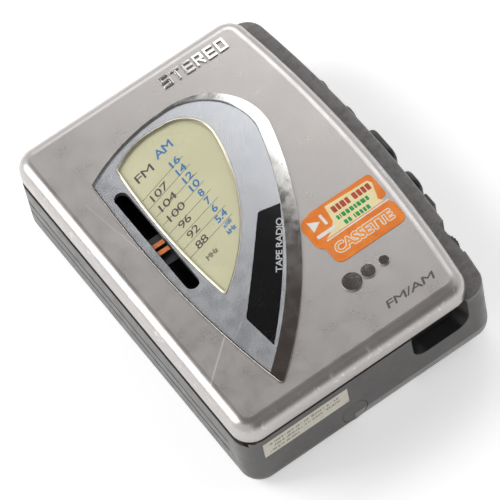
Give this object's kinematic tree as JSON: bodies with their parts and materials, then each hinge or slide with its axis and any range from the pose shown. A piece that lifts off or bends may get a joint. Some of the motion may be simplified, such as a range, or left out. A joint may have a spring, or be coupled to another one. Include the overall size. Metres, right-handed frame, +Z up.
{
  "type": "portable cassette player",
  "caption": "Pocket radio cassette player with a hinged silver lid, a tuning scale in a chrome-rimmed dial, side buttons, thumb wheels and a full tape drive inside.",
  "frame": {"origin": "middle of the back, on the surface the player lies on", "axes": "+X towards the button side, +Y along the player towards the end with the headphone socket, +Z up out of the lid"},
  "size_m": [0.0886, 0.115, 0.0326],
  "materials": {
    "case_plastic": "fine satin texture",
    "button_plastic": "satin",
    "black_plastic": "satin",
    "white_plastic": "satin",
    "silver_paint": "satin metallic silver",
    "satin_silver": "satin",
    "chrome": "polished",
    "steel": "plated",
    "dark_steel": "blackened",
    "brass": "turned",
    "copper": "enamelled winding",
    "board": "lacquered board",
    "ferrite": "sintered",
    "rubber": "matt",
    "clear_plastic": "clear gloss",
    "smoked_window": "polished black",
    "dial_print": "printed scale",
    "pointer_plastic": "orange",
    "front_sticker": "printed film",
    "paper_label": "paper"
  },
  "bodies": {
    "case": {"antenna_coil": "copper", "back_cover": "case_plastic", "battery_contact": "steel", "battery_spring": "steel", "blanking_plug": "case_plastic", "board_parts": "black_plastic", "capstan_bush": "brass", "case_screws": "dark_steel", "circuit_board": "board", "drive_belt": "rubber", "end_label": "paper_label", "ferrite_antenna": "ferrite", "headphone_socket": "black_plastic", "latch_spring": "steel", "mechanism_plate": "steel", "mechanism_screws": "steel", "middle_case": "case_plastic", "motor": "steel", "pinch_post": "steel", "spindle_posts": "steel", "tuning_capacitor": "clear_plastic", "volume_control": "black_plastic", "well_floor": "black_plastic"},
    "lid": {"lid": "silver_paint", "hinge_pins": "steel", "cassette_holder": "steel", "cassette_springs": "steel", "dial_bezel": "satin_silver", "chrome_rim": "chrome", "dial_plate": "dial_print", "dial_lens": "clear_plastic", "dark_window": "smoked_window", "badge": "chrome", "emblem": "chrome", "front_sticker": "front_sticker"},
    "pointer": {"tuning_pointer": "pointer_plastic"},
    "tuning_slide": {"tuning_slider": "black_plastic"},
    "tuning": {"tuning_wheel": "button_plastic"},
    "volume": {"volume_wheel": "button_plastic"},
    "play": {"play_button": "button_plastic"},
    "stop": {"stop_button": "button_plastic"},
    "fast_forward": {"fast_forward_button": "button_plastic"},
    "rewind": {"rewind_button": "button_plastic"},
    "head": {"head_bridge": "steel", "tape_head": "chrome"},
    "pinch": {"pinch_arm": "black_plastic"},
    "roller": {"pinch_roller": "rubber"},
    "flywheel": {"flywheel": "brass", "capstan": "steel"},
    "motor_rotor": {"motor_shaft": "steel", "motor_pulley": "brass"},
    "idler": {"idler_gear": "white_plastic"},
    "takeup": {"takeup_spindle": "white_plastic"},
    "supply": {"supply_spindle": "white_plastic"},
    "band": {"band_switch": "button_plastic"},
    "bass": {"bass_switch": "case_plastic"},
    "battery_door": {"battery_door": "case_plastic"}
  },
  "joints": [
    {"name": "lid_hinge", "type": "hinge", "parent": "case", "child": "lid", "pos_m": [-0.04105, 0, 0.0256], "axis": [0, -1, 0], "range_deg": [0, 42]},
    {"name": "play_press", "type": "slide", "parent": "case", "child": "play", "axis": [-1, 0, 0], "range_m": [0, 0.002], "stiffness_N_per_m": 60, "springref_m": -0.002},
    {"name": "stop_press", "type": "slide", "parent": "case", "child": "stop", "axis": [-1, 0, 0], "range_m": [0, 0.0018], "stiffness_N_per_m": 60, "springref_m": -0.002},
    {"name": "fast_forward_press", "type": "slide", "parent": "case", "child": "fast_forward", "axis": [-1, 0, 0], "range_m": [0, 0.0012], "stiffness_N_per_m": 60, "springref_m": -0.002},
    {"name": "rewind_press", "type": "slide", "parent": "case", "child": "rewind", "axis": [-1, 0, 0], "range_m": [0, 0.0012], "stiffness_N_per_m": 60, "springref_m": -0.002},
    {"name": "head_slide", "type": "slide", "parent": "case", "child": "head", "axis": [-1, 0, 0], "range_m": [0, 0.002]},
    {"name": "pinch_swing", "type": "hinge", "parent": "case", "child": "pinch", "pos_m": [0.0315, -0.021, 0.018], "axis": [0, 0, 1], "range_deg": [0, 4.5]},
    {"name": "roller_spin", "type": "hinge", "parent": "pinch", "child": "roller", "pos_m": [0.0289, -0.0164, 0.0237], "axis": [0, 0, 1], "continuous": true},
    {"name": "flywheel_spin", "type": "hinge", "parent": "case", "child": "flywheel", "pos_m": [0.0235, -0.0165, 0.014], "axis": [0, 0, 1], "continuous": true},
    {"name": "motor_spin", "type": "hinge", "parent": "case", "child": "motor_rotor", "pos_m": [0.024, 0.03, 0.014], "axis": [0, 0, 1], "continuous": true},
    {"name": "idler_spin", "type": "hinge", "parent": "case", "child": "idler", "pos_m": [0.0115, -0.01616, 0.0124], "axis": [0, 0, 1], "continuous": true},
    {"name": "takeup_spin", "type": "hinge", "parent": "case", "child": "takeup", "pos_m": [-0.0068, -0.02125, 0.0124], "axis": [0, 0, 1], "continuous": true},
    {"name": "supply_spin", "type": "hinge", "parent": "case", "child": "supply", "pos_m": [-0.0068, 0.02125, 0.0124], "axis": [0, 0, 1], "continuous": true},
    {"name": "volume_turn", "type": "hinge", "parent": "case", "child": "volume", "pos_m": [0.0356, -0.0384, 0.02], "axis": [0, 0, 1], "range_deg": [-140, 140]},
    {"name": "tuning_turn", "type": "hinge", "parent": "case", "child": "tuning", "pos_m": [-0.015, 0.0482, 0.0114], "axis": [0, 0, 1], "range_deg": [-116, 166]},
    {"name": "tuning_slide", "type": "slide", "parent": "case", "child": "tuning_slide", "axis": [0, 1, 0], "range_m": [-0.0113, 0.01615]},
    {"name": "pointer_slide", "type": "slide", "parent": "lid", "child": "pointer", "axis": [0, 1, 0], "range_m": [-0.0113, 0.01615]},
    {"name": "band_switch_slide", "type": "slide", "parent": "case", "child": "band", "axis": [1, 0, 0], "range_m": [0, 0.0036]},
    {"name": "bass_switch_slide", "type": "slide", "parent": "case", "child": "bass", "axis": [0, -1, 0], "range_m": [0, 0.0026]},
    {"name": "battery_door_slide", "type": "slide", "parent": "case", "child": "battery_door", "axis": [0, -1, 0], "range_m": [0, 0.005]}
  ],
  "couplings": [
    {"joint": "head_slide", "follows": "play_press", "ratio": 1},
    {"joint": "pinch_swing", "follows": "play_press", "rad_per_m": 39},
    {"joint": "motor_spin", "follows": "flywheel_spin", "ratio": 3.4286},
    {"joint": "idler_spin", "follows": "flywheel_spin", "ratio": -0.5},
    {"joint": "takeup_spin", "follows": "flywheel_spin", "ratio": 0.36364},
    {"joint": "tuning_slide", "follows": "tuning_turn", "m_per_rad": 0.00554},
    {"joint": "pointer_slide", "follows": "tuning_turn", "m_per_rad": 0.00554}
  ]
}
